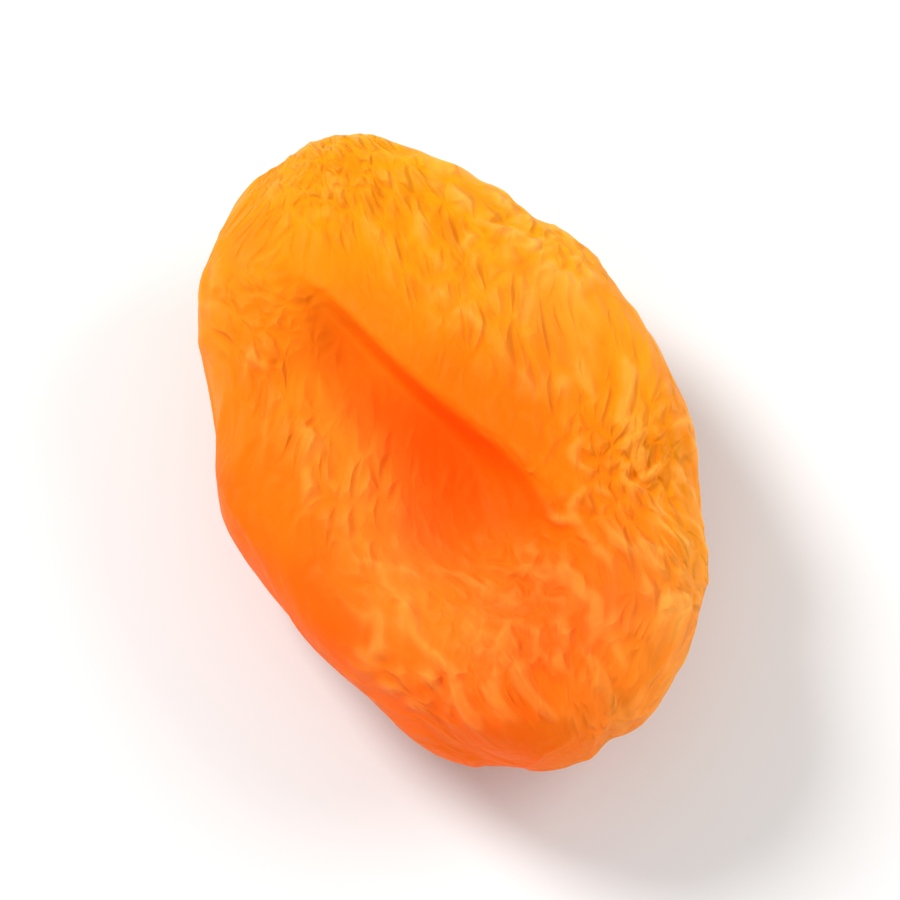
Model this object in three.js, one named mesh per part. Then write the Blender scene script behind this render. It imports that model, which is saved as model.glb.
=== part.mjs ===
// A dried apricot: stoned, dried whole and flattened, lying on its back with the hollow that the stone left
// facing up. It grew as one piece, so it is one solid. Millimetres, +Z up, +X from the stem end to the tip.
// The origin is the middle of its footprint, on the table.
import * as THREE from "three";
import { mergeVertices } from "three/addons/utils/BufferGeometryUtils.js";

const { clamp, lerp, smoothstep } = THREE.MathUtils;

// Driving length of the finished fruit: the form below is drawn near its size and then scaled to it
const LENGTH = 42;

// The body: its outline from above is a radius every 22.5 degrees, anticlockwise from the tip
const OUTLINE_RADII = [
  18.8, 18.1, 14.4, 14.1, 13.5, 14.2, 15.8, 17.3, 23.2, 20.1, 13.6, 14.0, 12.0, 12.9, 12.4, 17.6,
];
const HALF_LENGTH = 21;
const HALF_WIDTH = 13.5;
const TOP_HEIGHT = 6.4; // from the rim's widest line up to the face
const UNDER_DEPTH = 6.2; // from the same line down to the back
const TOP_FULLNESS = 2.7; // the section's exponent: 2 is an ellipse, more is a fuller rim
const UNDER_FULLNESS = 2.15;
const RIM_WAVE = { height: 0.5, turn: 0.6 }; // the rim's widest line rises and falls twice round the fruit
const ROUND_LOBE = { share: 0.1, at: 1.22 }; // the face stands higher on this side
const SADDLE = { share: 0.08, turn: 0.35 }; // and rises at both ends of this line
const RIM_STAYS = 6; // power of the outward share: the higher, the nearer the rim the face's shapes reach

// The face's dish: a broad shallow basin
const BASIN = { x: 7, y: -0.6, halfLength: 12.5, halfWidth: 8, depth: 1.9, fall: 1.3 };
const LOBE_SPARED = { share: 0.6, across: [0, 3], along: [0, 8] }; // the lobe beside the crease isn't dished

// The lip's edge as seen from above, y = offset + slope x + bow x^2, with the crease under it
const EDGE = { offset: 1.4, slope: 0.53, bow: 0.012 };
const CREASE_DEPTH = 2.4;
const CREASE_START = [-13.5, -6.5]; // it deepens from the stem end over this stretch of x
const CREASE_END = [3, 13]; // and runs out over this one
const WALL_WIDTHS = { start: 1.3, middle: 2.4, end: 7.5 }; // the steep side, from the crease to the lip
const WALL_SPREADS = [-13, -6];
const WALL_OPENS = [-3, 11];
const FLOOR_NARROWEST = 1.2; // the gentle side, which opens like a wedge from the stem end
const FLOOR_WIDEST = 13;
const FLOOR_STARTS_X = -13.3;
const FLOOR_OPENING = 0.7; // mm of width gained for each mm along x
const FLOOR_POWER = 2.4; // it starts as a flat with a rounded step at its edge
const FLOOR_SLOPES = [-10, 1]; // and over this stretch of x it turns into a gentle slope

// The lip: the lobe on the steep side, raised and rolled over the crease
const LIP = { height: 0.6, across: 3.8, width: 2.4, start: [-14, -7], end: [0, 9] };
const SET_BACK = 0.5; // the wall under the lip's edge leans back this far
const LEAN_ENDS_ACROSS = 11;
const LEAN_START = [-13.5, -8];
const LEAN_END = [-3, 10];
const EDGE_CALM = { share: 0.8, halfWidth: 1.6, start: [-17, -12] }; // the rolled edge is stretched smooth

// The rim opposite the lip rolls into the hollow along a low ridge, y = offset + slope x
const RIM_ROLL = { offset: -8.7, slope: -0.25, height: 0.4, halfWidth: 1.3, start: [-15, -11], end: [-4, 2] };

// The suture: a shallow groove from the crease's end to a notch at the tip
const SUTURE = { fromX: 7.8, fromY: 4.4, slope: -0.25, depth: 0.5, halfWidth: 0.95, start: [8, 17] };

// The back: one long fold, one broad dent, the stem's scar and the flat spot it rests on
const BACK_FOLD = { y: -6.2, slope: 0.16, depth: 0.9, halfWidth: 1.5, start: [-15, -9], end: [5, 13] };
const BACK_DENT = { x: -3, y: 7.5, halfLength: 9, halfWidth: 3.2, depth: 0.9 };
const STEM_SCAR = { y: 0.5, z: -1.2, halfWidth: 1.7, depth: 0.9, onlyBelowX: -15 };
const REST = { x: -1.3, y: 1.2, halfLength: 7, halfWidth: 5.5, sag: 0.9, pressed: 0.55 };

// The skin's relief, which runs with the fruit's length
const GRAIN_STRETCH = 0.42; // waves are longer along x by one over this
const SWIRL = { wavelength: 14, count: 24, seeds: [11, 12, 13], reach: 0.9 };
const LUMPS = { wavelength: 11, count: 24, seed: 1, height: 0.25 };
const FOLDS = { wavelength: 5, count: 32, seed: 2, height: 0.2, width: 0.75 };
const PATCHES = { wavelength: 9, count: 16, seed: 7, least: 0.45 };

// Facets along the crease, across it and up the sides, and how closely they bunch at the crease
const FACETS = [46, 38, 14];
const BUNCHING = 0.55;
const BUNCHED_AT = 0.09; // the crease's place across the fruit, from -1 to 1

// A window on x: 0 before the first stretch, 1 between the two, 0 after the second
const between = (x, start, end) => smoothstep(x, ...start) * (1 - smoothstep(x, ...end));

// 1 on a line and falling away to both sides of it as a bell curve
const bell = (distance, halfWidth) => Math.exp(-((distance / halfWidth) ** 2));

// The squared distance from a patch's middle, measured in its own half length and half width
const reach = (x, y, patch) =>
  ((x - patch.x) / patch.halfLength) ** 2 + ((y - patch.y) / patch.halfWidth) ** 2;

// The outline's radius at an angle: a uniform cubic B-spline on the listed radii
function outlineRadius(angle) {
  const count = OUTLINE_RADII.length;
  const place = (angle / (2 * Math.PI)) * count + count;
  const first = Math.floor(place);
  const t = place - first;
  const weights = [(1 - t) ** 3, 3 * t ** 3 - 6 * t ** 2 + 4, -3 * t ** 3 + 3 * t ** 2 + 3 * t + 1, t ** 3];
  return weights.reduce((sum, w, k) => sum + (w * OUTLINE_RADII[(first + k - 1 + count) % count]) / 6, 0);
}

// A sum of cosine waves of about one wavelength in directions spread over a sphere, with unit variance.
// Multiples of irrational numbers draw the directions and phases, so every run gives the same skin.
function waves(point, { wavelength, count, seed }) {
  let sum = 0;
  for (let i = 0; i < count; i++) {
    const turn = 2 * Math.PI * ((i * 0.7548776662 + seed * 0.137) % 1);
    const cosine = 1 - (2 * (i + 0.5)) / count;
    const sine = Math.sqrt(1 - cosine ** 2);
    const band = 1 + 0.3 * (2 * ((i * 0.569840291 + seed * 0.61) % 1) - 1);
    const phase = 2 * Math.PI * ((i * 0.6180339887 + seed * 0.331) % 1);
    const along = cosine * point.x + sine * (Math.cos(turn) * point.y + Math.sin(turn) * point.z);
    sum += Math.cos((2 * Math.PI * band * along) / wavelength + phase);
  }
  return sum / Math.sqrt(count / 2);
}

// The big form: the point of the skin that a direction of the unit sphere is carried to
function skinPoint(direction) {
  const isTop = direction.z >= 0;
  const level = Math.hypot(direction.x, direction.y);
  const angle = Math.atan2(HALF_WIDTH * direction.y, HALF_LENGTH * direction.x);
  const fullness = isTop ? TOP_FULLNESS : UNDER_FULLNESS;
  const norm = (level ** fullness + Math.abs(direction.z) ** fullness) ** (1 / fullness);
  const outward = level / norm; // 0 in the middle and 1 on the rim
  const rise = direction.z / norm;
  const radius = outward * outlineRadius(angle);
  const point = new THREE.Vector3(radius * Math.cos(angle), radius * Math.sin(angle), 0);
  const rimLine = RIM_WAVE.height * Math.cos(2 * angle + RIM_WAVE.turn) * outward ** 2;
  const inside = smoothstep(1 - outward ** RIM_STAYS, 0, 1); // 0 on the rim and 1 over most of the face
  if (isTop) {
    const lobe = ROUND_LOBE.share * Math.cos(angle - ROUND_LOBE.at);
    const saddle = SADDLE.share * Math.cos(2 * angle - SADDLE.turn);
    point.z = rimLine + TOP_HEIGHT * (1 + (lobe + saddle) * outward ** 2) * rise;
    shapeFace(point, inside);
  } else {
    point.z = rimLine + UNDER_DEPTH * rise;
    shapeBack(point, inside);
  }
  return point;
}

// The distance past the lip's edge as seen from above, and the edge's slope there
function fromEdge({ x, y }) {
  const slope = EDGE.slope + 2 * EDGE.bow * x;
  const steepness = Math.hypot(1, slope);
  const pastEdge = (y - EDGE.offset - EDGE.slope * x - EDGE.bow * x ** 2) / steepness;
  return { slope, steepness, pastEdge };
}

// Sinks the dish and the crease into the face, and rolls the lip over them
function shapeFace(point, inside) {
  const { x, y } = point;
  const { slope, steepness, pastEdge } = fromEdge(point);
  const spread = lerp(WALL_WIDTHS.start, WALL_WIDTHS.middle, smoothstep(x, ...WALL_SPREADS));
  const wall = lerp(spread, WALL_WIDTHS.end, smoothstep(x, ...WALL_OPENS));
  const fullLean = (wall - SET_BACK) * between(x, LEAN_START, LEAN_END);
  const across = pastEdge + wall - fullLean; // from the crease's bottom, positive on the lip's side

  const beside = smoothstep(across, ...LOBE_SPARED.across) * (1 - smoothstep(x, ...LOBE_SPARED.along));
  const basin = BASIN.depth * Math.exp(-BASIN.fall * reach(x, y, BASIN)) * (1 - LOBE_SPARED.share * beside);

  const floor = clamp(FLOOR_NARROWEST + (x - FLOOR_STARTS_X) * FLOOR_OPENING, FLOOR_NARROWEST, FLOOR_WIDEST);
  const down = clamp(-across / floor, 0, 1);
  const sloped = smoothstep(x, ...FLOOR_SLOPES);
  const floorShare = lerp(1 - down ** FLOOR_POWER, 1 - smoothstep(down, 0, 1), sloped);
  const share = across > 0 ? 1 - smoothstep(across / wall, 0, 1) : floorShare;
  const crease = CREASE_DEPTH * between(x, CREASE_START, CREASE_END) * share;

  const lip = LIP.height * bell(across - LIP.across, LIP.width) * between(x, LIP.start, LIP.end);
  const rollLine = RIM_ROLL.offset + RIM_ROLL.slope * x;
  const rollWindow = between(x, RIM_ROLL.start, RIM_ROLL.end);
  const roll = RIM_ROLL.height * bell(y - rollLine, RIM_ROLL.halfWidth) * rollWindow;
  const overCrease = smoothstep(across, 0, wall) * (1 - smoothstep(across, wall, LEAN_ENDS_ACROSS));
  const lean = (fullLean * overCrease * inside) / steepness;

  point.x += slope * lean;
  point.y -= lean;
  point.z += (lip + roll - basin - crease) * inside;
}

// Folds and dents the back, and lets it sag where it will be pressed flat
function shapeBack(point, inside) {
  const { x, y } = point;
  const foldLine = BACK_FOLD.y + BACK_FOLD.slope * x;
  const foldWindow = between(x, BACK_FOLD.start, BACK_FOLD.end);
  const fold = BACK_FOLD.depth * bell(y - foldLine, BACK_FOLD.halfWidth) * foldWindow;
  const dent = BACK_DENT.depth * Math.exp(-reach(x, y, BACK_DENT));
  const sag = REST.sag * Math.exp(-reach(x, y, REST));
  point.z += (fold + dent - sag) * inside;
}

// How far the skin stands out at a point of the big form: lumps and narrow folds, less suture and scar
function relief(point) {
  const { x, y, z } = point;
  const swirl = SWIRL.seeds.map((seed) => waves(point, { ...SWIRL, seed }));
  const grain = new THREE.Vector3(...swirl).multiplyScalar(SWIRL.reach).add(point);
  const lumps = LUMPS.height * waves(grain, LUMPS);
  const patch = lerp(PATCHES.least, 1, smoothstep(waves(grain, PATCHES), -1, 1));
  const stretched = grain.clone().multiply(new THREE.Vector3(GRAIN_STRETCH, 1, 1));
  const folds = FOLDS.height * patch * bell(waves(stretched, FOLDS), FOLDS.width);
  const sutureY = SUTURE.fromY + SUTURE.slope * (x - SUTURE.fromX);
  const suture = SUTURE.depth * bell(y - sutureY, SUTURE.halfWidth) * smoothstep(x, ...SUTURE.start);
  const scarDistance = Math.hypot(y - STEM_SCAR.y, z - STEM_SCAR.z);
  const scar = x < STEM_SCAR.onlyBelowX ? STEM_SCAR.depth * bell(scarDistance, STEM_SCAR.halfWidth) : 0;
  const edgeWindow = between(x, EDGE_CALM.start, LEAN_END);
  const nearEdge = bell(fromEdge(point).pastEdge, EDGE_CALM.halfWidth) * edgeWindow;
  const calm = z > 0 ? 1 - EDGE_CALM.share * nearEdge : 1;
  return calm * (lumps + folds) - suture - scar;
}

// Moves every vertex of a geometry to where a function of its place and its index puts it
function moveVertices(geometry, move) {
  const positions = geometry.getAttribute("position");
  const vertex = new THREE.Vector3();
  for (let i = 0; i < positions.count; i++) {
    const moved = move(vertex.fromBufferAttribute(positions, i), i);
    positions.setXYZ(i, moved.x, moved.y, moved.z);
  }
}

// A box pushed out onto the unit sphere, with no poles: its long sides run along the crease and its facets
// are closest there
function unitSphere() {
  const box = new THREE.BoxGeometry(2, 2, 2, ...FACETS);
  box.deleteAttribute("normal");
  box.deleteAttribute("uv");
  const sphere = mergeVertices(box);
  const bunch = (across) => {
    const eased = across - (BUNCHING * Math.sin(Math.PI * across)) / Math.PI;
    return eased + BUNCHED_AT * (1 - eased ** 2);
  };
  moveVertices(sphere, (vertex) => vertex.setY(bunch(vertex.y)).normalize());
  sphere.rotateZ(Math.atan2(EDGE.slope * HALF_LENGTH, HALF_WIDTH));
  return sphere;
}

function apricotGeometry() {
  const skin = unitSphere();
  moveVertices(skin, skinPoint);

  // Relief goes out along the big form's own normals
  skin.computeVertexNormals();
  const normals = skin.getAttribute("normal");
  const normal = new THREE.Vector3();
  moveVertices(skin, (vertex, i) =>
    normal.fromBufferAttribute(normals, i).multiplyScalar(relief(vertex)).add(vertex),
  );

  // The weight presses the lowest skin flat
  skin.computeBoundingBox();
  const tableZ = skin.boundingBox.min.z + REST.pressed;
  moveVertices(skin, (vertex) => vertex.setZ(Math.max(vertex.z, tableZ)));

  // The footprint's middle comes to the origin, and the length to its driving value
  skin.computeBoundingBox();
  const middle = skin.boundingBox.getCenter(new THREE.Vector3());
  const scale = LENGTH / (skin.boundingBox.max.x - skin.boundingBox.min.x);
  skin.translate(-middle.x, -middle.y, -tableZ);
  skin.scale(scale, scale, scale);
  skin.computeVertexNormals();
  return skin;
}

const apricot = new THREE.Mesh(
  apricotGeometry(),
  new THREE.MeshStandardMaterial({ color: 0xf98a1c, roughness: 0.42, metalness: 0 }),
);
apricot.name = "apricot";

const part = new THREE.Group();
part.add(apricot);

export default part;
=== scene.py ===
# %% [markdown]
# # A dried apricot
#
# A dried apricot is a whole fruit whose stone was pressed out before it was laid in the sun. As it loses water it
# flattens, its rim stays plump, and its face sinks into a hollow where the stone was. One side of the hollow rolls
# over into a lip. The skin has to fit a smaller fruit, so it creases into short, worm-like wrinkles.
#
# The fruit is one surface. A ball is cut into a grid, every point of the ball is carried to a point of the fruit by a
# formula, and relief is then raised along the surface's own normals: first lumps and folds, then fine wrinkles.

# %% Load the frame
import math

import bpy
import numpy as np
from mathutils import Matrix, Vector


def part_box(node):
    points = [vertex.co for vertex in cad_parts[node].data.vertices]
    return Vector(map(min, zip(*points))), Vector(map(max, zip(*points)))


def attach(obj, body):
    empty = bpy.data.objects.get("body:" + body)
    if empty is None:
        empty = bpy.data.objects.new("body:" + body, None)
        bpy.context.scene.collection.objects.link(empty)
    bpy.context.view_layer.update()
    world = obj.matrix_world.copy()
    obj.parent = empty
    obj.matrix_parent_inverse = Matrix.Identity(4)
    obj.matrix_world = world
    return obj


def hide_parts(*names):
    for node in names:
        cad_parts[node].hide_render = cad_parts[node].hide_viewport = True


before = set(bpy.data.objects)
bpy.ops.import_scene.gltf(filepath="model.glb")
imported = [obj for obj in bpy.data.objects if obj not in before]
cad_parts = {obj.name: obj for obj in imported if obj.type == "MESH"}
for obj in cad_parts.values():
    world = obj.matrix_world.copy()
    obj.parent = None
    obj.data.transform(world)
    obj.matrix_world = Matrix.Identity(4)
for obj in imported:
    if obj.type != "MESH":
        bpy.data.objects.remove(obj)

MM = 0.001  # the formulas below are in millimetres, and the meshes in metres
NODE = "apricot"
low_corner, high_corner = (np.array(corner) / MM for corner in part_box(NODE))
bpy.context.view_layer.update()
print("the solid measures", np.round(high_corner - low_corner, 1), "mm")

# %% [markdown]
# ## Small tools for shaping
#
# Almost every hollow, ridge and fold here is a plain curve times a window. `smooth` is an S-curve between two values,
# `between` is a plateau with soft ends, and `bell` is a round-topped ridge. They take whole arrays, so one line
# shapes the whole skin at once.

# %% Small tools for shaping
def smooth(value, start, end):
    """0 before start, 1 after end, and an S-curve between them: 3t^2 - 2t^3."""
    t = np.clip((value - start) / (end - start), 0, 1)
    return t * t * (3 - 2 * t)


def between(value, rise, fall):
    """0 before the stretch rise, 1 between the two stretches, 0 after the stretch fall."""
    return smooth(value, *rise) * (1 - smooth(value, *fall))


def bell(distance, half_width):
    """1 on a line, falling away to both sides as the exponential of minus the squared distance."""
    return np.exp(-((distance / half_width) ** 2))


def mix(first, second, share):
    """The value that lies at a share of the way from first to second."""
    return first + (second - first) * share


DRAWS = {"turn": (0.7548776662, 0.137), "band": (0.569840291, 0.61), "phase": (0.6180339887, 0.331)}


def draw_share(kind, i, seed):
    """A number from 0 to 1 that looks random: what is left of a multiple of an irrational number."""
    step, shift = DRAWS[kind]
    return (i * step + seed * shift) % 1


def waves(points, wavelength, count, seed, band=0.3):
    """A smooth random field: the sum of cosine waves of about one wavelength, whose directions are spread over a
    sphere. It is the same on every run."""
    total = np.zeros(len(points))
    for i in range(count):
        turn = 2 * np.pi * draw_share("turn", i, seed)
        cosine = 1 - 2 * (i + 0.5) / count
        sine = np.sqrt(1 - cosine**2)
        direction = np.array([cosine, sine * np.cos(turn), sine * np.sin(turn)])
        spread = 1 + band * (2 * draw_share("band", i, seed) - 1)
        phase = 2 * np.pi * draw_share("phase", i, seed)
        total += np.cos(points @ direction * (2 * np.pi * spread / wavelength) + phase)
    return total / np.sqrt(count / 2)


print("smooth(0.5, 0, 1) is", smooth(0.5, 0, 1))

# %% [markdown]
# ## The grid of the skin
#
# A ball made of latitudes and longitudes has two poles where its faces crowd together, and wrinkles there would look
# pinched. A box pushed out onto the ball has no poles. Its long sides are turned to run along the hollow's crease,
# and its lines are bunched there, where the surface bends most.

# %% The grid of the skin
HALF_LENGTH = 21
HALF_WIDTH = 13.5
EDGE = {"offset": 1.4, "slope": 0.53, "bow": 0.012}  # the lip's edge from above, y = offset + slope x + bow x^2
FACETS = (172, 142, 76)  # along the crease, across it and up the sides
BUNCHING = 0.55
BUNCHED_AT = 0.09


def box_grid(facets):
    """The points of a box's six sides as whole numbers along its edges, each point once, with its square faces.
    Each side is a sheet of whole numbers in two directions, at the start or the end of the third."""
    sheets, squares, first = [], [], 0
    for axis in range(3):
        across, up = (axis + 1) % 3, (axis + 2) % 3
        for end in (0, 1):
            i, j = np.meshgrid(np.arange(facets[across] + 1), np.arange(facets[up] + 1), indexing="ij")
            sheet = np.zeros((i.size, 3), int)
            sheet[:, axis] = end * facets[axis]
            sheet[:, across] = i.ravel()
            sheet[:, up] = j.ravel()
            index = np.arange(i.size).reshape(i.shape) + first
            square = np.stack([index[:-1, :-1], index[1:, :-1], index[1:, 1:], index[:-1, 1:]], -1).reshape(-1, 4)
            sheets.append(sheet)
            squares.append(square if end else square[:, ::-1])
            first += i.size
    points, place = np.unique(np.concatenate(sheets), axis=0, return_inverse=True)
    return points, place.reshape(-1)[np.concatenate(squares)]


def unit_ball(facets):
    """The box grid scaled to run from -1 to 1, bunched across the crease by y - b sin(pi y) / pi, pushed out to
    length 1, and turned about Z to lie along the lip's edge."""
    steps, squares = box_grid(facets)
    box = steps / np.array(facets) * 2 - 1
    box[:, 1] -= BUNCHING * np.sin(np.pi * box[:, 1]) / np.pi
    box[:, 1] += BUNCHED_AT * (1 - box[:, 1] ** 2)
    box /= np.linalg.norm(box, axis=1, keepdims=True)
    turn = math.atan2(EDGE["slope"] * HALF_LENGTH, HALF_WIDTH)
    x = math.cos(turn) * box[:, 0] - math.sin(turn) * box[:, 1]
    y = math.sin(turn) * box[:, 0] + math.cos(turn) * box[:, 1]
    return np.stack([x, y, box[:, 2]], axis=-1), squares


ball, squares = unit_ball(FACETS)
print("the grid has", len(ball), "points and", 2 * len(squares), "triangles")

# %% [markdown]
# ## The body
#
# Seen from above the fruit is a lopsided oval, blunter at the tip and narrower at the stem end. Its outline is a
# smooth closed curve through a radius for every 22.5 degrees. In section it is fuller than an ellipse, with a plump,
# steep rim, so each direction of the ball is pushed out to a superellipse.

# %% The body
OUTLINE_RADII = np.array(
    [18.8, 18.1, 14.4, 14.1, 13.5, 14.2, 15.8, 17.3, 23.2, 20.1, 13.6, 14.0, 12.0, 12.9, 12.4, 17.6]
)
TOP_HEIGHT = 6.4
UNDER_DEPTH = 6.2
TOP_FULLNESS = 2.7
UNDER_FULLNESS = 2.15
RIM_WAVE = {"height": 0.5, "turn": 0.6}
ROUND_LOBE = {"share": 0.1, "at": 1.22}
SADDLE = {"share": 0.08, "turn": 0.35}
RIM_STAYS = 6


def outline_radius(angle):
    """A uniform cubic B-spline on the listed radii: four neighbours, weighted by cubics of the way between them."""
    count = len(OUTLINE_RADII)
    place = angle / (2 * np.pi) * count % count
    first = np.floor(place).astype(int)
    t = place - first
    weights = [(1 - t) ** 3, 3 * t**3 - 6 * t**2 + 4, -3 * t**3 + 3 * t**2 + 3 * t + 1, t**3]
    return sum(weight * OUTLINE_RADII[(first + k - 1) % count] for k, weight in enumerate(weights)) / 6


def body_points(directions):
    """Each direction d is divided by (level^p + |z|^p)^(1/p), which puts it on a superellipse of power p. The level
    part is then stretched to the outline's radius, and the upright part to the height above or depth below the rim."""
    level = np.hypot(directions[:, 0], directions[:, 1])
    angle = np.arctan2(HALF_WIDTH * directions[:, 1], HALF_LENGTH * directions[:, 0])
    is_top = directions[:, 2] >= 0
    fullness = np.where(is_top, TOP_FULLNESS, UNDER_FULLNESS)
    norm = (level**fullness + np.abs(directions[:, 2]) ** fullness) ** (1 / fullness)
    outward = level / norm
    rise = directions[:, 2] / norm
    lobe = ROUND_LOBE["share"] * np.cos(angle - ROUND_LOBE["at"])
    saddle = SADDLE["share"] * np.cos(2 * angle - SADDLE["turn"])
    top = TOP_HEIGHT * (1 + (lobe + saddle) * outward**2) * rise
    rim_line = RIM_WAVE["height"] * np.cos(2 * angle + RIM_WAVE["turn"]) * outward**2
    radius = outward * outline_radius(angle)
    z = rim_line + np.where(is_top, top, UNDER_DEPTH * rise)
    inside = smooth(1 - outward**RIM_STAYS, 0, 1)
    return np.stack([radius * np.cos(angle), radius * np.sin(angle), z], axis=-1), inside, is_top


skin, inside, is_top = body_points(ball)
print("the body spans", np.round(np.ptp(skin, axis=0), 1), "mm")

# %% [markdown]
# ## The hollow and its lip
#
# The stone leaves a shallow dish, and across it a slanting crease. One side of the crease is a steep wall that ends
# in the lip, and the other opens like a wedge into a gentle floor. The lip's points are not only raised but also
# pushed sideways until the wall under them is nearly upright, which a height map alone could not do. Opposite the
# lip the rim rolls in along a low ridge.

# %% The hollow and its lip
BASIN = {"x": 7, "y": -0.6, "half_length": 12.5, "half_width": 8, "depth": 1.9, "fall": 1.3}
LOBE_SPARED = {"share": 0.6, "across": (0, 3), "along": (0, 8)}
CREASE_DEPTH = 2.4
CREASE_START = (-13.5, -6.5)
CREASE_END = (3, 13)
WALL_WIDTHS = {"start": 1.3, "middle": 2.4, "end": 7.5}
WALL_SPREADS = (-13, -6)
WALL_OPENS = (-3, 11)
FLOOR_NARROWEST = 1.2
FLOOR_WIDEST = 13
FLOOR_STARTS_X = -13.3
FLOOR_OPENING = 0.7
FLOOR_POWER = 2.4
FLOOR_SLOPES = (-10, 1)
WALL_INSIDE = (0.55, 1.0)
LIP = {"height": 0.6, "across": 3.8, "width": 2.4, "start": (-14, -7), "end": (0, 9)}
SET_BACK = 0.5
LEAN_ENDS_ACROSS = 11
LEAN_START = (-13.5, -8)
LEAN_END = (-3, 10)
RIM_ROLL = {"offset": -8.7, "slope": -0.25, "height": 0.4, "half_width": 1.3, "start": (-15, -11), "end": (-4, 2)}


def patch_reach(x, y, patch):
    """The squared distance from a patch's middle, measured in its own half length and half width."""
    return ((x - patch["x"]) / patch["half_length"]) ** 2 + ((y - patch["y"]) / patch["half_width"]) ** 2


def from_edge(x, y):
    """The distance past the lip's edge as seen from above, with the edge's slope and how much longer than x it is."""
    slope = EDGE["slope"] + 2 * EDGE["bow"] * x
    steepness = np.hypot(1, slope)
    return (y - EDGE["offset"] - EDGE["slope"] * x - EDGE["bow"] * x**2) / steepness, slope, steepness


def shape_face(points, inside):
    """Lowers the dish, an exponential bowl, and the crease, a wall and a floor that meet at its bottom. Then raises
    the lip, and leans it towards the crease by an S-curve that grows up the wall and dies away over the lobe.
    Returns the shaped points, and from 0 to 1 how far each is inside the crease, where the wall counts up to its
    edge."""
    x, y, z = points.T
    past_edge, slope, steepness = from_edge(x, y)
    spread = mix(WALL_WIDTHS["start"], WALL_WIDTHS["middle"], smooth(x, *WALL_SPREADS))
    wall = mix(spread, WALL_WIDTHS["end"], smooth(x, *WALL_OPENS))
    full_lean = (wall - SET_BACK) * between(x, LEAN_START, LEAN_END)
    across = past_edge + wall - full_lean

    beside = smooth(across, *LOBE_SPARED["across"]) * (1 - smooth(x, *LOBE_SPARED["along"]))
    basin = BASIN["depth"] * np.exp(-BASIN["fall"] * patch_reach(x, y, BASIN)) * (1 - LOBE_SPARED["share"] * beside)

    floor = np.clip(FLOOR_NARROWEST + (x - FLOOR_STARTS_X) * FLOOR_OPENING, FLOOR_NARROWEST, FLOOR_WIDEST)
    down = np.clip(-across / floor, 0, 1)
    floor_share = mix(1 - down**FLOOR_POWER, 1 - smooth(down, 0, 1), smooth(x, *FLOOR_SLOPES))
    share = np.where(across > 0, 1 - smooth(across / wall, 0, 1), floor_share)
    crease_window = between(x, CREASE_START, CREASE_END)
    inside_crease = crease_window * np.where(across > 0, 1 - smooth(across / wall, *WALL_INSIDE), floor_share)

    lip = LIP["height"] * bell(across - LIP["across"], LIP["width"]) * between(x, LIP["start"], LIP["end"])
    roll_line = RIM_ROLL["offset"] + RIM_ROLL["slope"] * x
    roll_window = between(x, RIM_ROLL["start"], RIM_ROLL["end"])
    roll = RIM_ROLL["height"] * bell(y - roll_line, RIM_ROLL["half_width"]) * roll_window
    over_crease = smooth(across, 0, wall) * (1 - smooth(across, wall, LEAN_ENDS_ACROSS))
    lean = full_lean * over_crease * inside / steepness
    raised = lip + roll - basin - CREASE_DEPTH * crease_window * share
    shaped = np.stack([x + slope * lean, y - lean, z + raised * inside], axis=-1)
    return shaped, inside_crease * inside


crease_depth = np.zeros(len(skin))
skin[is_top], crease_depth[is_top] = shape_face(skin[is_top], inside[is_top])
print("the deepest point of the hollow is at", np.round(skin[is_top][np.argmin(skin[is_top][:, 2])], 1), "mm")

# %% [markdown]
# ## The back
#
# The back is what the fruit lies on. It is gently convex, with one long fold, a broad dent, and a small sag where its
# own weight will press it flat against the table.

# %% The back
BACK_FOLD = {"y": -6.2, "slope": 0.16, "depth": 0.9, "half_width": 1.5, "start": (-15, -9), "end": (5, 13)}
BACK_DENT = {"x": -3, "y": 7.5, "half_length": 9, "half_width": 3.2, "depth": 0.9}
REST = {"x": -1.3, "y": 1.2, "half_length": 7, "half_width": 5.5, "sag": 0.9, "pressed": 0.55}


def shape_back(points, inside):
    """Lifts a bell-shaped fold along a line and a bell-shaped dent into the back, and lowers the sag."""
    x, y, z = points.T
    fold_line = BACK_FOLD["y"] + BACK_FOLD["slope"] * x
    fold_window = between(x, BACK_FOLD["start"], BACK_FOLD["end"])
    fold = BACK_FOLD["depth"] * bell(y - fold_line, BACK_FOLD["half_width"]) * fold_window
    dent = BACK_DENT["depth"] * np.exp(-patch_reach(x, y, BACK_DENT))
    sag = REST["sag"] * np.exp(-patch_reach(x, y, REST))
    return np.stack([x, y, z + (fold + dent - sag) * inside], axis=-1)


skin[~is_top] = shape_back(skin[~is_top], inside[~is_top])
print("the lowest point of the back is at", np.round(skin[np.argmin(skin[:, 2])], 1), "mm")

# %% [markdown]
# ## Lumps and folds
#
# Drying is uneven, so the surface has broad lumps and narrow folds that run roughly along the fruit. A fold's crest
# follows the line where a random field is zero, which gives long lines that wander, branch and close as folds do.
# The skin over the rolled lip is stretched, so it stays calm. A shallow suture runs to the tip, and the stem left a
# small scar.

# %% Lumps and folds
GRAIN_STRETCH = np.array([0.42, 1, 1])
SWIRL = {"wavelength": 14, "count": 24, "seeds": (11, 12, 13), "reach": 0.9}
LUMPS = {"wavelength": 11, "count": 24, "seed": 1}
LUMP_HEIGHT = 0.25
FOLDS = {"wavelength": 5, "count": 32, "seed": 2}
FOLD_HEIGHT = 0.2
FOLD_WIDTH = 0.75
PATCHES = {"wavelength": 9, "count": 16, "seed": 7}
PATCH_LEAST = 0.45
EDGE_CALM = {"share": 0.8, "half_width": 1.6, "start": (-17, -12)}
SUTURE = {"from_x": 7.8, "from_y": 4.4, "slope": -0.25, "depth": 0.5, "half_width": 0.95, "start": (8, 17)}
STEM_SCAR = {"y": 0.5, "z": -1.2, "half_width": 1.7, "depth": 0.9, "only_below_x": -15}


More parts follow.
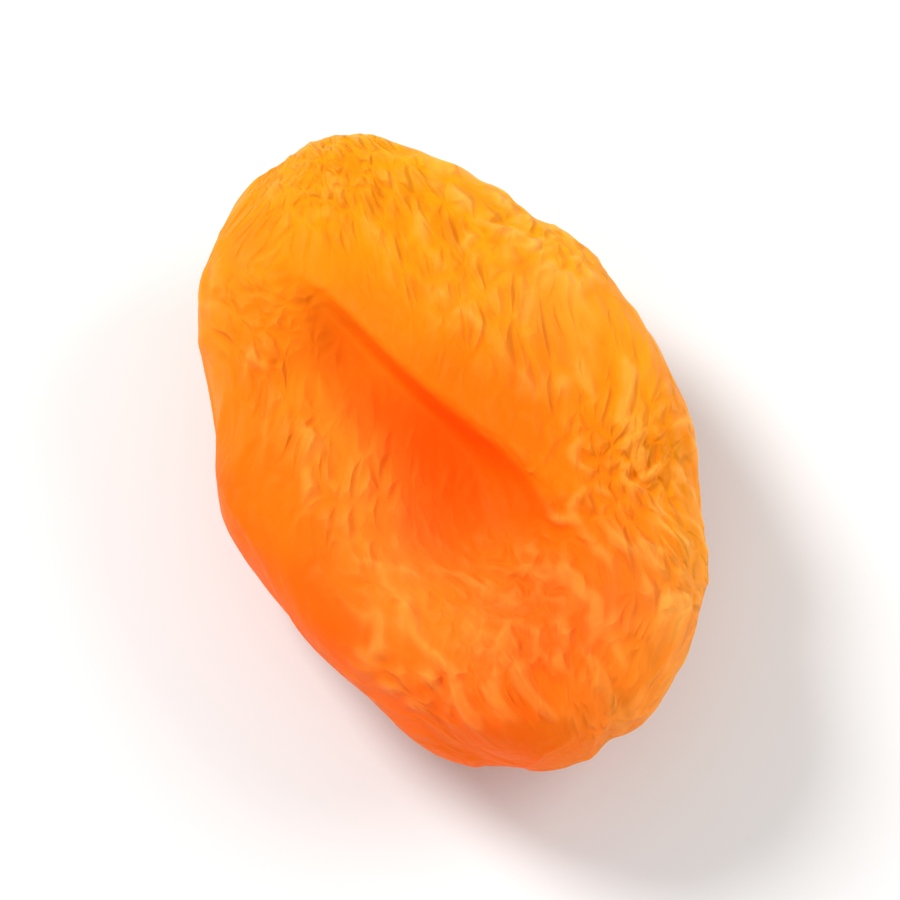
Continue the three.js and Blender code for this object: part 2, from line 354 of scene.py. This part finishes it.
def point_normals(points, squares):
    """The direction outwards at each point: the sum of the cross products of its squares' diagonals, to length 1."""
    a, b, c, d = (points[squares[:, k]] for k in range(4))
    facing = np.cross(c - a, d - b)
    total = np.zeros_like(points)
    for corner in range(4):
        for axis in range(3):
            total[:, axis] += np.bincount(squares[:, corner], facing[:, axis], len(points))
    return total / np.linalg.norm(total, axis=1, keepdims=True)


def broad_relief(points):
    """Lumps are a random field, and folds a bell over another field, so they stand where it is near zero. Both are
    read at places that a third field has pushed about. The suture and the scar are bells that sink in."""
    x, y, z = points.T
    swirl = [waves(points, SWIRL["wavelength"], SWIRL["count"], seed) for seed in SWIRL["seeds"]]
    grain = points + SWIRL["reach"] * np.stack(swirl, axis=-1)
    patch = mix(PATCH_LEAST, 1, smooth(waves(grain, **PATCHES), -1, 1))
    folds = FOLD_HEIGHT * patch * bell(waves(grain * GRAIN_STRETCH, **FOLDS), FOLD_WIDTH)
    near_edge = bell(from_edge(x, y)[0], EDGE_CALM["half_width"]) * between(x, EDGE_CALM["start"], LEAN_END)
    calm = np.where(z > 0, 1 - EDGE_CALM["share"] * near_edge, 1)
    suture_y = SUTURE["from_y"] + SUTURE["slope"] * (x - SUTURE["from_x"])
    suture = SUTURE["depth"] * bell(y - suture_y, SUTURE["half_width"]) * smooth(x, *SUTURE["start"])
    scar_bell = bell(np.hypot(y - STEM_SCAR["y"], z - STEM_SCAR["z"]), STEM_SCAR["half_width"])
    scar = np.where(x < STEM_SCAR["only_below_x"], STEM_SCAR["depth"] * scar_bell, 0)
    return calm * (LUMP_HEIGHT * waves(grain, **LUMPS) + folds) - suture - scar, grain, patch, calm


broad, grain, patch, calm = broad_relief(skin)
print("lumps and folds reach from", round(broad.min(), 2), "to", round(broad.max(), 2), "mm")

# %% [markdown]
# ## Fine wrinkles
#
# Close up the skin is covered with short raised ridges about a millimetre apart: small ones like grains of rice, and
# longer ones that bend like worms. They run from the stem end to the tip and bend with the outline, and over the lobe
# and the lower dish they slant. A random field would smear them into noise, so each one is laid on its own: space is
# cut into cells, each cell holds a few ridges with a random place, turn and bend, and a point of the skin adds up the
# ridges near it. The random numbers have a seed, so the skin is the same on every run.

# %% Fine wrinkles
RICE = {"cell": 2.0, "each": 6, "length": (0.5, 1.2), "width": (0.26, 0.36), "height": (0.02, 0.1), "bend": 0.16}
WORMS = {"cell": 3.0, "each": 8, "length": (0.8, 1.8), "width": (0.31, 0.44), "height": (0.08, 0.34), "bend": 0.3}
RIDGE_THICKNESS = 0.5
RIDGE_TURN = 0.6
LOWER_DISH = {"turn": 0.25, "spread": 0.7, "pleats": 0.9, "from_x": (3, 10), "below_y": (2, 6)}
RIDGE_TABLE = 4096  # the number of different cells
RIDGE_DRAWS = 8  # three for the place, and one each for turn, bend, length, width and height
RIDGE_SWAY = 2  # radians of the bending wave per mm
CELL_PRIMES = (73856093, 19349663, 83492791)
FLOW_HALF_LENGTH = 22.5
FLOW_NARROWEST = 0.4
FLOW_STRETCH = 0.5
LOBE_TURN = 0.4
LOBE_TURN_ENDS = (0, 9)


def lower_dish_share(x, y):
    """1 in the lower part of the dish and 0 elsewhere: an S-curve along x times one across y."""
    return smooth(x, *LOWER_DISH["from_x"]) * (1 - smooth(y, *LOWER_DISH["below_y"]))


def flow_direction(x, y):
    """Ridges follow lines of equal y / w, where w is the half width of an ellipse: their slope is y w' / w. Over
    the lobe they are turned one way, which dies away by an S-curve along x, and in the lower dish the other way."""
    slope = -x * y / np.maximum(FLOW_HALF_LENGTH**2 - x**2, HALF_WIDTH)
    turned = LOBE_TURN * (1 - smooth(x, *LOBE_TURN_ENDS))
    return np.arctan(slope) - turned + LOWER_DISH["turn"] * lower_dish_share(x, y)


def flow_places(points):
    """The same flow laid out straight: x shortened so that its patterns draw out, y divided by w and pushed by the
    turn's sum along x, which is (t - t^3 + t^4 / 2) over the S-curve, and z."""
    x, y, z = points.T
    width = np.sqrt(np.maximum(1 - (x / FLOW_HALF_LENGTH) ** 2, FLOW_NARROWEST**2))
    start, end = LOBE_TURN_ENDS
    t = np.clip((x - start) / (end - start), 0, 1)
    turned = np.minimum(x - start, 0) + (end - start) * (t - t**3 + t**4 / 2)
    return np.stack([x * FLOW_STRETCH, y / width + math.tan(LOBE_TURN) * turned, z], axis=-1)


def fine_ridges(points, kind, seed):
    """For the cell of each point and its 26 neighbours, looks up each ridge's place, turn, bend, length, width and
    height in a table of random numbers, and adds height * exp(-(along / length)^2 - (aside / width)^2), which also
    fades with the height above or below the ridge."""
    table = np.random.default_rng(seed).random((RIDGE_TABLE, kind["each"], RIDGE_DRAWS))
    home = np.floor(points / kind["cell"]).astype(np.int64)
    total = np.zeros(len(points))
    for step in np.ndindex(3, 3, 3):
        cell = home + np.array(step) - 1
        row = np.bitwise_xor.reduce(cell * CELL_PRIMES, axis=1) % RIDGE_TABLE
        for k in range(kind["each"]):
            draw = table[row, k]
            middle = (cell + draw[:, :3]) * kind["cell"]
            spread = RIDGE_TURN * mix(1, LOWER_DISH["spread"], lower_dish_share(middle[:, 0], middle[:, 1]))
            turn = flow_direction(middle[:, 0], middle[:, 1]) + spread * (2 * draw[:, 3] - 1)
            away = points - middle
            along = away[:, 0] * np.cos(turn) + away[:, 1] * np.sin(turn)
            aside = away[:, 1] * np.cos(turn) - away[:, 0] * np.sin(turn)
            aside = aside + kind["bend"] * np.sin(RIDGE_SWAY * along + 2 * np.pi * draw[:, 4])
            length = mix(*kind["length"], draw[:, 5])
            width = mix(*kind["width"], draw[:, 6])
            height = mix(*kind["height"], draw[:, 7])
            deep = away[:, 2] / RIDGE_THICKNESS
            total += height * np.exp(-((along / length) ** 2) - (aside / width) ** 2 - deep**2)
    return total


rice = fine_ridges(grain, RICE, seed=5)
worms = fine_ridges(grain, WORMS, seed=6)
print("short ridges reach", round(rice.max(), 2), "mm and long ones", round(worms.max(), 2), "mm")

# %% [markdown]
# ## Where the skin is smooth
#
# The wrinkles are strong on the rims and in the dish. They fade in the crease, on the rolled lip, at the tip and on
# the outer side, where the skin is stretched. Broader wrinkles of the zero-line kind join the ridges into a net, and
# three long ridges wander through the lower part of the dish.

# %% Where the skin is smooth
NET = {"wavelength": 2.0, "count": 64, "seed": 3}
NET_HEIGHT = 0.05
NET_WIDTH = 0.5
WRINKLES_LEAST = 0.6
CREASE_CALM = {"share": 0.8, "depths": (0.5, 1.0), "depths_at_start": (0.2, 0.65), "start_ends": (-5, 1)}
LIP_CALM = {"share": 0.6, "at": 1.4, "half_width": 2.0}
TIP_CALM = {"share": 0.75, "from_x": (13, 18), "below_y": (-2, 2)}
OUTER_CALM = {"share": 0.8, "below_y": (-11, -7.5)}
LOWER_CALM = {"share": 0.1, "below_y": (-2, 6)}
LONG_RIDGES = np.array([[7.5, -6.5, 0.17, 9.0], [12.8, -2.8, 0.34, 5.0], [14.6, 1.4, 0.28, 5.0]])
LONG_RIDGE = {"height": 0.36, "half_width": 0.34, "fade": 1.2}
MEANDER = {"wavelength": 4.1, "reach": 0.2}


def long_ridges(x, y):
    """Each row of LONG_RIDGES is a line: its start x and y, its slope and its length. The line meanders by a sine,
    a bell across it gives the ridge, and both its ends fade."""
    start_x, start_y, slope, length = LONG_RIDGES.T
    along = x[:, None] - start_x
    aside = y[:, None] - start_y - slope * along
    aside = aside - MEANDER["reach"] * np.sin(2 * np.pi * along / MEANDER["wavelength"])
    ends = smooth(along, 0, LONG_RIDGE["fade"]) * (1 - smooth(along, length - LONG_RIDGE["fade"], length))
    return LONG_RIDGE["height"] * np.max(bell(aside, LONG_RIDGE["half_width"]) * ends, axis=1)


x, y = skin[:, 0], skin[:, 1]
on_lip = bell(from_edge(x, y)[0] - LIP_CALM["at"], LIP_CALM["half_width"]) * between(x, EDGE_CALM["start"], LEAN_END)
at_tip = smooth(x, *TIP_CALM["from_x"]) * (1 - smooth(y, *TIP_CALM["below_y"]))
wrinkled = calm * mix(WRINKLES_LEAST, 1, patch)
at_start, further = (smooth(crease_depth, *CREASE_CALM[name]) for name in ("depths_at_start", "depths"))
wrinkled *= 1 - CREASE_CALM["share"] * mix(at_start, further, smooth(x, *CREASE_CALM["start_ends"]))
wrinkled *= 1 - LIP_CALM["share"] * np.where(is_top, on_lip, 0)
wrinkled *= 1 - TIP_CALM["share"] * at_tip
wrinkled *= 1 - OUTER_CALM["share"] * (1 - smooth(y, *OUTER_CALM["below_y"]))
wrinkled *= 1 - LOWER_CALM["share"] * (1 - smooth(y, *LOWER_CALM["below_y"]))

net = bell(waves(grain * GRAIN_STRETCH, **NET), NET_WIDTH)
fine = wrinkled * (rice + worms + NET_HEIGHT * net) + np.where(is_top, long_ridges(x, y), 0)
fine -= fine.mean()
print("the wrinkled share of the skin is", round(wrinkled.mean(), 2))

# %% [markdown]
# ## Put the skin together
#
# The relief goes out along the body's normals, and lower on the steep rim, whose outline is quiet. The fruit's weight
# then presses its lowest skin flat, and the whole is scaled to the solid's length and set on the solid's place, so
# that it needs no fitting.

# %% Put the skin together
RIM_SHARES = (0.72, 0.95)  # of the way from the middle to the outline
STEEP_SHARES = (0.9, 1.02)
STEEP_RELIEF = 0.4

to_outline = np.hypot(x, y) / outline_radius(np.arctan2(y, x))
rim = smooth(to_outline, *RIM_SHARES)
relief = broad + fine * mix(1, STEEP_RELIEF, smooth(to_outline, *STEEP_SHARES))
wrinkly_skin = skin + point_normals(skin, squares) * relief[:, None]
table_z = wrinkly_skin[:, 2].min() + REST["pressed"]
wrinkly_skin[:, 2] = np.maximum(wrinkly_skin[:, 2], table_z)
scale = (high_corner[0] - low_corner[0]) / np.ptp(wrinkly_skin[:, 0])
middle = (wrinkly_skin.max(axis=0) + wrinkly_skin.min(axis=0)) / 2
solid_middle = (high_corner + low_corner) / 2
placed = (wrinkly_skin - [middle[0], middle[1], table_z]) * scale + [solid_middle[0], solid_middle[1], low_corner[2]]
print("the skin measures", np.round(np.ptp(placed, axis=0), 2), "mm at a scale of", round(scale, 3))


def mesh_piece(name, points, faces):
    """A mesh object of points in metres, smooth shaded, at the origin with its place in its mesh."""
    mesh = bpy.data.meshes.new(name)
    mesh.from_pydata(points.tolist(), [], faces.tolist())
    mesh.update()
    mesh.polygons.foreach_set("use_smooth", np.ones(len(mesh.polygons), bool))
    piece = bpy.data.objects.new(name, mesh)
    bpy.context.scene.collection.objects.link(piece)
    return piece


fruit = mesh_piece("dried_apricot", placed * MM, squares)
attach(fruit, "root")
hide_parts(NODE)
print("the fruit has", len(fruit.data.polygons), "faces")

# %% [markdown]
# ## Golden side and painted light, painted shade in the hollow, painted highlights on crests
#
# A dried apricot isn't one colour. One side is golden and the other is deep orange: that slope is partly the fruit's
# own colour and partly painted light from above, the rim is golden and partly painted light, and the floor is lit by
# painted light against its shade. The crease is painted red as its shade, the crests of the wrinkles get a painted
# highlight, most of all along the rim, and the valleys get painted shade. The floor and parts of the rim are a little
# milky, where the skin has dried dull. Each of these shares is worked out for every point and stored with it, so that
# the material can read it by name.

# %% Golden side and painted light, painted shade in the hollow, painted highlights on crests
# The golden share is partly the fruit's own golden side and partly painted light: lighter towards the top of the view,
# on the rim where it catches the light, and on the floor against its shade.
GOLDEN_MIDDLE = 0.41
GOLDEN_AND_LIT_PER_MM = np.array([-0.021, 0.026])
GOLDEN_LIT_RIM = {"share": 0.5, "from_x": (2, 14), "from_y": (-7, 4)}
LIT_FLOOR = {"x": 5, "y": -5.4, "half_length": 8, "half_width": 3.2, "share": 0.48}
ORANGE_BASIN = {"x": 12, "y": 3, "half_length": 5, "half_width": 4, "share": 0.15}
ORANGE_LIP = {"at": 0.8, "half_width": 3.2, "share": 0.25}
# The crease's red is painted shade: redder where the crease is deep, fading towards its ends.
SHADE_DEPTHS = (0.4, 1)
SHADE_START = (-11, 2)
SHADE_END = (6, 14)
# Crests of the wrinkles get a painted highlight, stronger along the rim and over the lobe.
CREST_HEIGHTS = (0.0, 0.18)
# Valleys of the wrinkles get painted shade.
VALLEY_DEPTHS = (0.0, 0.1)
RIM_HIGHLIGHT = {"from_y": (3, 9), "strength": 3.2}
LOBE_HIGHLIGHT = {"from_y": (1, 4), "strength": 1.5}
MILKY_PATCHES = np.array([
    [3.0, -5.5, 9.0, 3.0, 0.1],
    [11.0, -2.6, 4.0, 4.0, 0.05],
    [14.5, 7.5, 4.0, 4.0, 0.13],
    [18.5, 2.0, 3.0, 3.0, 0.07],
    [-4.6, 8.4, 4.0, 3.0, 0.07],
])


def paint(piece, name, values):
    """Stores one number, or one place, for each point of a piece, which its material can read by name."""
    kind, field = ("FLOAT", "value") if values.ndim == 1 else ("FLOAT_VECTOR", "vector")
    piece.data.attributes.new(name, kind, "POINT").data.foreach_set(field, values.astype(np.float32).ravel())


def golden_and_lit_share(x, y):
    """A slope across the fruit, plus an S-curve on the rim, plus and minus bells on the face. The slope and the rim
    are partly painted light from above, and the bell on the floor is painted light.
    """
    lip_bell = bell(from_edge(x, y)[0] - ORANGE_LIP["at"], ORANGE_LIP["half_width"])
    on_rim = rim * smooth(x, *GOLDEN_LIT_RIM["from_x"]) * smooth(y, *GOLDEN_LIT_RIM["from_y"])
    floor = LIT_FLOOR["share"] * np.exp(-patch_reach(x, y, LIT_FLOOR))
    basin = ORANGE_BASIN["share"] * np.exp(-patch_reach(x, y, ORANGE_BASIN))
    lip = ORANGE_LIP["share"] * lip_bell * between(x, LIP["start"], LIP["end"])
    slope = GOLDEN_MIDDLE + placed[:, :2] @ GOLDEN_AND_LIT_PER_MM
    return slope + GOLDEN_LIT_RIM["share"] * on_rim + np.where(is_top, floor - basin, 0) - lip


def milky_share(x, y):
    """A sum of bells: each row of MILKY_PATCHES is a middle, its half length and half width, and a share."""
    middle_x, middle_y, half_length, half_width, share = MILKY_PATCHES.T
    reach = ((x[:, None] - middle_x) / half_length) ** 2 + ((y[:, None] - middle_y) / half_width) ** 2
    return np.where(is_top, np.exp(-reach) @ share, 0)


# Painted highlight on the crests of the wrinkles, strongest along the rim and over the lobe.
crest_highlight = smooth(fine, *CREST_HEIGHTS) * mix(1, RIM_HIGHLIGHT["strength"], rim * smooth(y, *RIM_HIGHLIGHT["from_y"]))
crest_highlight *= mix(1, LOBE_HIGHLIGHT["strength"], smooth(y, *LOBE_HIGHLIGHT["from_y"]) * (1 - rim))
# Painted shade in the valleys of the wrinkles, weaker on the steep rim.
valley_shade = smooth(-fine, *VALLEY_DEPTHS) * wrinkled * mix(1, STEEP_RELIEF, rim)
# The golden share, partly painted light, stored for the material.
golden_and_lit = golden_and_lit_share(x, y)
paint(fruit, "golden_and_lit", golden_and_lit)
# Painted shade: the crease is reddened where it is deep.
paint(fruit, "hollow", smooth(crease_depth, *SHADE_DEPTHS) * between(x, SHADE_START, SHADE_END))
paint(fruit, "milky", milky_share(x, y))
paint(fruit, "crest_highlight", crest_highlight)
paint(fruit, "valley_shade", valley_shade)
paint(fruit, "pleated", wrinkled * mix(1, LOWER_DISH["pleats"], lower_dish_share(x, y)))
paint(fruit, "flow", flow_places(grain))
print("the golden share goes from", round(golden_and_lit.min(), 2), "to", round(golden_and_lit.max(), 2))

# %% [markdown]
# ## Dried flesh
#
# Dried apricot is translucent: light goes in, bounces about and comes out redder, so thin ridges glow yellow and deep
# places turn red. Subsurface scattering does part of that, and the base colour paints the rest: it follows the painted
# shares, with painted light in the golden share, painted shade in the crease and the valleys, painted highlights on
# the crests and pleats, and cloudy blotches over all of it. The finest pleats are too small for the mesh: they are the
# borders of scattered cells, laid out along the same flow as the ridges, and raised as bump together with a grain of
# pores.

# %% Dried flesh
GOLDEN = (0.8, 0.31, 0.003, 1)
ORANGE = (0.85, 0.11, 0.002, 1)
# The red of the painted shade in the crease.
CREASE_SHADE_RED = (0.9, 0.085, 0.001, 1)
# The pale peach of the painted highlights on crests and pleats.
HIGHLIGHT_PEACH = (0.95, 0.40, 0.07, 1)
# The darker orange of the painted shade in the valleys.
VALLEY_SHADE = (0.7, 0.14, 0.001, 1)
MILKY = (0.95, 0.18, 0.13, 1)


def add(tree, kind, **settings):
    """A new shader node with its settings made."""
    node = tree.nodes.new(kind)
    for name, value in settings.items():
        setattr(node, name, value)
    return node


def attribute(tree, name, output="Fac"):
    """The number, or with output="Vector" the place, that paint stored under a name."""
    return add(tree, "ShaderNodeAttribute", attribute_name=name).outputs[output]


def calculate(tree, operation, *values, clamp=False):
    """One step of arithmetic on numbers or sockets."""
    node = add(tree, "ShaderNodeMath", operation=operation, use_clamp=clamp)
    for socket, value in zip(node.inputs, values):
        if isinstance(value, (int, float)):
            socket.default_value = value
        else:
            tree.links.new(value, socket)
    return node.outputs[0]


def blend(tree, share, first, second):
    """A colour that goes from first to second as share goes from 0 to 1."""
    node = add(tree, "ShaderNodeMix", data_type="RGBA")
    tree.links.new(share, node.inputs["Factor"])
    colours = [socket for socket in node.inputs if socket.type == "RGBA"]
    for socket, colour in zip(colours, (first, second)):
        if isinstance(colour, tuple):
            socket.default_value = colour
        else:
            tree.links.new(colour, socket)
    return next(socket for socket in node.outputs if socket.type == "RGBA")


def new_material(name):
    """An empty material with a Principled shader, and its tree."""
    material = bpy.data.materials.new(name)
    material.use_nodes = True
    tree = material.node_tree
    return material, tree, tree.nodes["Principled BSDF"]


print("helpers for shader nodes are ready")

# %% Dried flesh: colour, gloss and grain
BLOTCHES = {"Scale": 140.0, "Detail": 3.0, "Roughness": 0.55}
BLOTCH_MIDDLE = 0.5
BLOTCH_STRENGTH = 0.6
GLOSS_CLOUDS = 420.0
# How strongly the painted highlight pales the crests.
CREST_HIGHLIGHT = 0.2
# How far the painted shade reddens the crease.
SHADE_REDDENS = 0.9
SCATTER = {"weight": 0.4, "radius": (1.0, 0.36, 0.1), "scale": 0.45 * MM}
GLOSS = {"roughness": 0.42, "roughness_spread": 0.22, "specular": 0.1, "tint": (1, 0.6, 0.2, 1)}
PLEATS = {"scale": 0.85, "wander_scale": 0.7, "wander_detail": 1.0, "wander": 1.1, "round": 0.5}
PLEAT_HEIGHT = 0.34 * MM
# How strongly the painted highlight pales the pleats.
PLEAT_HIGHLIGHT = 0.2
# How strongly the painted shade darkens the valleys.
VALLEY_SHADE_STRENGTH = 0.55
GRAIN = {"Scale": 2600.0, "Detail": 3.0, "Roughness": 0.6}
GRAIN_HEIGHT = 0.012 * MM


def pleats(tree):
    """Rounded grains in the flow's own layout: the distance to the borders of scattered cells, whose places a noise
    has pushed about, made round on top."""
    flow = attribute(tree, "flow", "Vector")
    noise = add(tree, "ShaderNodeTexNoise")
    tree.links.new(flow, noise.inputs["Vector"])
    noise.inputs["Scale"].default_value = PLEATS["wander_scale"]
    noise.inputs["Detail"].default_value = PLEATS["wander_detail"]
    push = add(tree, "ShaderNodeVectorMath", operation="MULTIPLY_ADD")
    tree.links.new(noise.outputs["Color"], push.inputs[0])
    push.inputs[1].default_value = [PLEATS["wander"]] * 3
    tree.links.new(flow, push.inputs[2])
    cells = add(tree, "ShaderNodeTexVoronoi", feature="DISTANCE_TO_EDGE")
    tree.links.new(push.outputs["Vector"], cells.inputs["Vector"])
    cells.inputs["Scale"].default_value = PLEATS["scale"]
    ramp = add(tree, "ShaderNodeMapRange", interpolation_type="SMOOTHSTEP")
    tree.links.new(cells.outputs["Distance"], ramp.inputs["Value"])
    ramp.inputs["From Max"].default_value = PLEATS["round"]
    return ramp.outputs["Result"]


def dried_flesh():
    """Orange to golden, partly painted light, by the painted share plus blotches, then red as painted shade in the
    crease, milky, pale as a painted highlight on crests and pleats, and darker as painted shade in valleys, each by
    its own share. Roughness follows a finer noise, and pleats and grain bump the surface."""
    material, tree, shader = new_material("dried_flesh")
    place = add(tree, "ShaderNodeTexCoord").outputs["Object"]

    def cloud(scale):
        noise = add(tree, "ShaderNodeTexNoise")
        tree.links.new(place, noise.inputs["Vector"])
        for name, value in {**BLOTCHES, "Scale": scale}.items():
            noise.inputs[name].default_value = value
        return noise.outputs["Fac"]

    from_middle = calculate(tree, "SUBTRACT", cloud(BLOTCHES["Scale"]), BLOTCH_MIDDLE)
    blotch = calculate(tree, "MULTIPLY", from_middle, BLOTCH_STRENGTH)
    # The golden share, partly painted light, with blotches.
    side = calculate(tree, "ADD", attribute(tree, "golden_and_lit"), blotch, clamp=True)
    flesh = blend(tree, side, ORANGE, GOLDEN)
    # Painted shade: the crease turns red where it is deep.
    flesh = blend(tree, calculate(tree, "MULTIPLY", attribute(tree, "hollow"), SHADE_REDDENS), flesh, CREASE_SHADE_RED)
    flesh = blend(tree, attribute(tree, "milky"), flesh, MILKY)
    pleat = pleats(tree)
    pleat_height = calculate(tree, "MULTIPLY", pleat, attribute(tree, "pleated"))
    # Painted highlights: the crests and the pleats are paled.
    flesh = blend(tree, calculate(tree, "MULTIPLY", attribute(tree, "crest_highlight"), CREST_HIGHLIGHT), flesh, HIGHLIGHT_PEACH)
    flesh = blend(tree, calculate(tree, "MULTIPLY", pleat_height, PLEAT_HIGHLIGHT), flesh, HIGHLIGHT_PEACH)
    # Painted shade: the valleys are darkened.
    flesh = blend(tree, calculate(tree, "MULTIPLY", attribute(tree, "valley_shade"), VALLEY_SHADE_STRENGTH), flesh, VALLEY_SHADE)
    tree.links.new(flesh, shader.inputs["Base Color"])

    rough = calculate(tree, "MULTIPLY", cloud(GLOSS_CLOUDS), GLOSS["roughness_spread"])
    tree.links.new(calculate(tree, "ADD", rough, GLOSS["roughness"]), shader.inputs["Roughness"])
    shader.inputs["Specular IOR Level"].default_value = GLOSS["specular"]
    shader.inputs["Specular Tint"].default_value = GLOSS["tint"]
    shader.inputs["Subsurface Weight"].default_value = SCATTER["weight"]
    shader.inputs["Subsurface Radius"].default_value = SCATTER["radius"]
    shader.inputs["Subsurface Scale"].default_value = SCATTER["scale"]

    pores = add(tree, "ShaderNodeTexNoise")
    tree.links.new(place, pores.inputs["Vector"])
    for name, value in GRAIN.items():
        pores.inputs[name].default_value = value
    pleated = add(tree, "ShaderNodeBump")
    pleated.inputs["Distance"].default_value = PLEAT_HEIGHT
    tree.links.new(pleat_height, pleated.inputs["Height"])
    bump = add(tree, "ShaderNodeBump")
    bump.inputs["Distance"].default_value = GRAIN_HEIGHT
    tree.links.new(pores.outputs["Fac"], bump.inputs["Height"])
    tree.links.new(pleated.outputs["Normal"], bump.inputs["Normal"])
    tree.links.new(bump.outputs["Normal"], shader.inputs["Normal"])
    return material


fruit.data.materials.append(dried_flesh())
print("the fruit wears", fruit.data.materials[0].name)

# %% [markdown]
# ## The table
#
# A plain pale sheet, large enough that its edge is never seen. It isn't part of the object, so it is only staged.

# %% The table
TABLE_HALF_SIZE = 1.5  # in metres
TABLE_COLOUR = (0.72, 0.715, 0.71, 1)
TABLE_ROUGHNESS = 0.85

corners = np.array([[-1, -1, 0], [1, -1, 0], [1, 1, 0], [-1, 1, 0]]) * TABLE_HALF_SIZE
table = mesh_piece("table", corners, np.array([[0, 1, 2, 3]]))
paper, _, paper_shader = new_material("paper")
paper_shader.inputs["Base Color"].default_value = TABLE_COLOUR
paper_shader.inputs["Roughness"].default_value = TABLE_ROUGHNESS
table.data.materials.append(paper)
print("the table is", 2 * TABLE_HALF_SIZE, "m wide")

# %% [markdown]
# ## Camera and light
#
# The view looks steeply down on the fruit's face through a long lens, with the stem end at the upper left. A soft
# light from the upper left rakes over the face and draws every wrinkle. A broad one from the right and a weak one
# from below fill its shadows, so that they stay orange and never turn black.

# %% Camera and light
AZIMUTH = math.radians(66.9)
ELEVATION = math.radians(65)
LENS = 180
SENSOR = 36
VIEW_WIDTH = 53 * MM
KEY = {"across": -0.22, "upward": 0.24, "towards": 0.15, "size": 0.15, "power": 1.32}
FILL = {"across": 0.28, "upward": 0.14, "towards": 0.14, "size": 0.25, "power": 0.72}
LOW = {"across": -0.05, "upward": -0.22, "towards": 0.22, "size": 0.2, "power": 0.32}
ROOM_LIGHT = 0.5
ROOM_COLOUR = (1, 1, 1, 1)

level = math.cos(ELEVATION)
back = Vector((math.sin(AZIMUTH) * level, -math.cos(AZIMUTH) * level, math.sin(ELEVATION)))
right = Vector((math.cos(AZIMUTH), math.sin(AZIMUTH), 0))
up = back.cross(right)
aim = Vector((low_corner + high_corner) / 2 * MM)


def light(name, across, upward, towards, size, power):
    """A round area light placed in the camera's own directions from the fruit, and turned to face it."""
    lamp = bpy.data.lights.new(name, "AREA")
    lamp.shape = "DISK"
    lamp.size = size
    lamp.energy = power
    holder = bpy.data.objects.new(name, lamp)
    holder.location = aim + right * across + up * upward + back * towards
    holder.rotation_euler = (aim - holder.location).to_track_quat("-Z", "Y").to_euler()
    bpy.context.scene.collection.objects.link(holder)


light("key", **KEY)
light("fill", **FILL)
light("low", **LOW)

world = bpy.data.worlds.new("studio")
world.use_nodes = True
world.node_tree.nodes["Background"].inputs["Color"].default_value = ROOM_COLOUR
world.node_tree.nodes["Background"].inputs["Strength"].default_value = ROOM_LIGHT
bpy.context.scene.world = world

lens = bpy.data.cameras.new("camera")
lens.lens = LENS
lens.sensor_width = SENSOR
lens.clip_start = MM
camera = bpy.data.objects.new("camera", lens)
camera.location = aim + back * (VIEW_WIDTH * LENS / SENSOR)
camera.rotation_euler = back.to_track_quat("Z", "Y").to_euler()
bpy.context.scene.collection.objects.link(camera)
bpy.context.scene.camera = camera
bpy.context.scene.view_settings.view_transform = "Standard"
print("the camera is", round(VIEW_WIDTH * LENS / SENSOR, 3), "m away")
